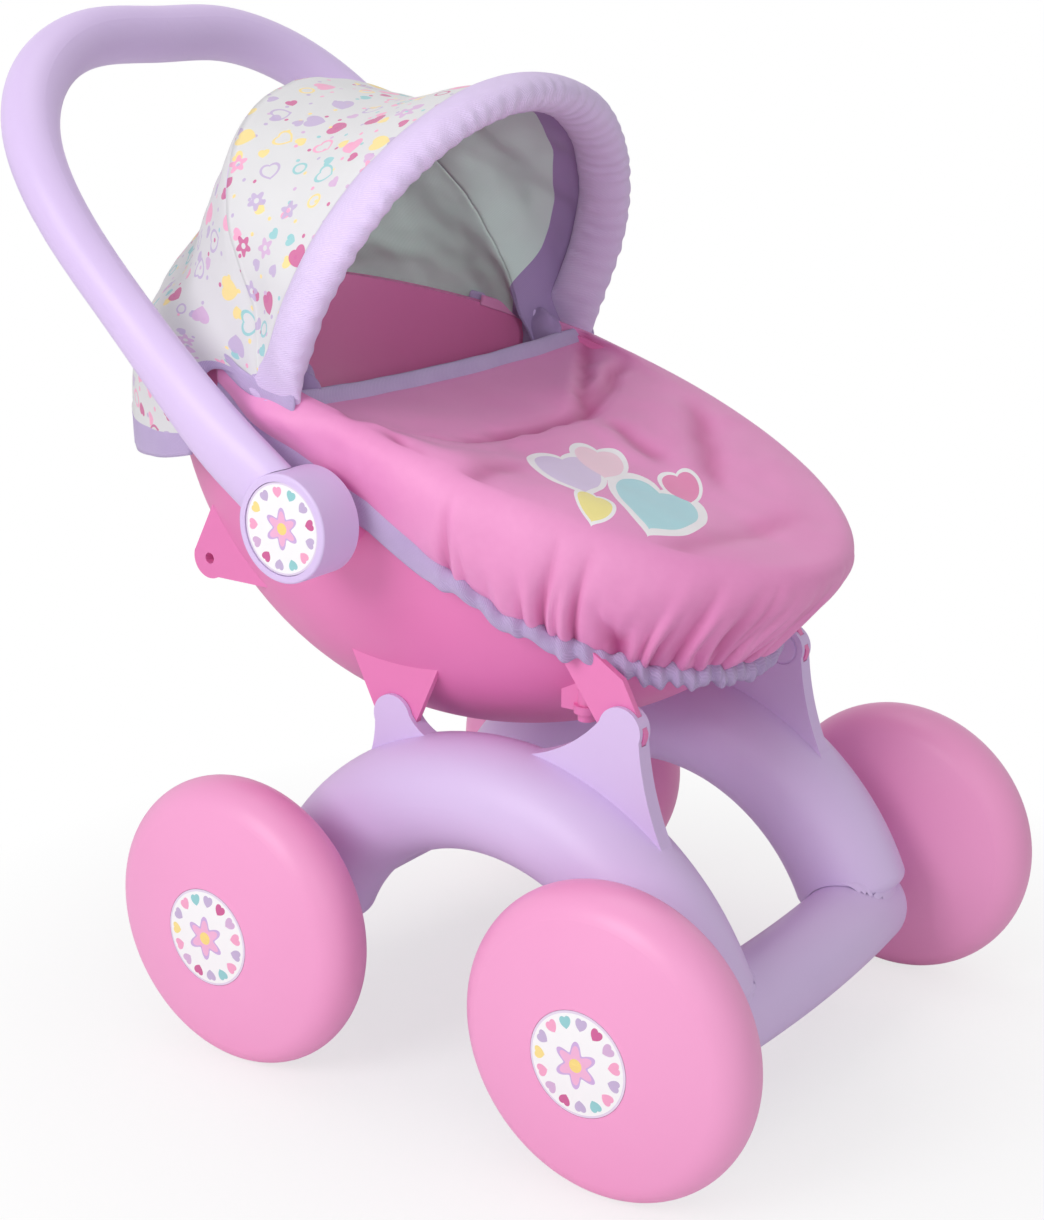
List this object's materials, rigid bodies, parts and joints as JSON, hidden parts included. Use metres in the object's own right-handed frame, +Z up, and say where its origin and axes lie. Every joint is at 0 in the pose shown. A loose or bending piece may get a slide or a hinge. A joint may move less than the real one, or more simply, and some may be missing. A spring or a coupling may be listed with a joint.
{
  "type": "doll stroller",
  "caption": "Toy doll pram with a moulded tub, cloth apron, folding hood on two hoops, round-tube arch chassis, balloon wheels and a U-shaped push handle",
  "frame": {"origin": "on the floor, midway between the four wheels", "axes": "+X to the pusher's left, +Y to the rear where the handle is, +Z up"},
  "size_m": [0.347, 0.4854, 0.5134],
  "materials": {
    "lilac_plastic": "smooth blow-moulded, low sheen",
    "wheel_pink": "smooth blow-moulded, low sheen",
    "bowl_pink": "smooth moulded",
    "white_plastic": "moulded",
    "badge_print": "printed label",
    "steel": "bright wire",
    "satin_pink": "satin weave",
    "lilac_cloth": "twill over soft padding",
    "printed_cloth": "printed plain weave"
  },
  "bodies": {
    "chassis": {"side_arch_left": "lilac_plastic", "side_arch_right": "lilac_plastic", "front_crossbar": "lilac_plastic", "rear_crossbar": "lilac_plastic", "axle_stubs": "steel", "axle_washers": "white_plastic", "axle_retainers": "steel", "bowl_pins": "lilac_plastic", "seat_bowl": "bowl_pink", "hub_pivot_left": "white_plastic", "hub_pivot_right": "white_plastic", "canopy_pins": "steel", "apron_cover": "satin_pink"},
    "wheel_fl": {"wheel_front_left": "wheel_pink", "wheel_badge_front_left": "badge_print"},
    "wheel_fr": {"wheel_front_right": "wheel_pink", "wheel_badge_front_right": "badge_print"},
    "wheel_rl": {"wheel_rear_left": "wheel_pink", "wheel_badge_rear_left": "badge_print"},
    "wheel_rr": {"wheel_rear_right": "wheel_pink", "wheel_badge_rear_right": "badge_print"},
    "handle": {"push_handle": "lilac_plastic", "hub_drum_left": "lilac_plastic", "hub_drum_right": "lilac_plastic", "hub_cap_left": "lilac_plastic", "hub_cap_right": "lilac_plastic", "hub_badge_left": "badge_print", "hub_badge_right": "badge_print"},
    "rear_hoop": {"canopy_rear_hoop": "white_plastic", "canopy_rear_panel": "printed_cloth"},
    "front_hoop": {"canopy_front_hoop": "white_plastic", "canopy_sleeve": "lilac_cloth", "canopy_front_panel": "printed_cloth"}
  },
  "joints": [
    {"name": "wheel_fl_spin", "type": "hinge", "parent": "chassis", "child": "wheel_fl", "pos_m": [0.146, -0.11, 0.075], "axis": [1, 0, 0], "continuous": true},
    {"name": "wheel_fr_spin", "type": "hinge", "parent": "chassis", "child": "wheel_fr", "pos_m": [-0.146, -0.11, 0.075], "axis": [1, 0, 0], "continuous": true},
    {"name": "wheel_rl_spin", "type": "hinge", "parent": "chassis", "child": "wheel_rl", "pos_m": [0.146, 0.11, 0.075], "axis": [1, 0, 0], "continuous": true},
    {"name": "wheel_rr_spin", "type": "hinge", "parent": "chassis", "child": "wheel_rr", "pos_m": [-0.146, 0.11, 0.075], "axis": [1, 0, 0], "continuous": true},
    {"name": "handle_swing", "type": "hinge", "parent": "chassis", "child": "handle", "pos_m": [0, 0.068, 0.285], "axis": [1, 0, 0], "range_deg": [-80, 0]},
    {"name": "rear_hoop_fold", "type": "hinge", "parent": "chassis", "child": "rear_hoop", "pos_m": [0, 0.101, 0.334], "axis": [-1, 0, 0], "range_deg": [0, 30], "deforming": ["canopy_rear_panel"]},
    {"name": "front_hoop_fold", "type": "hinge", "parent": "rear_hoop", "child": "front_hoop", "pos_m": [0, 0.101, 0.334], "axis": [-1, 0, 0], "range_deg": [0, 20], "deforming": ["canopy_front_panel"]}
  ],
  "couplings": [
    {"joint": "front_hoop_fold", "follows": "rear_hoop_fold", "ratio": 0.6667}
  ]
}
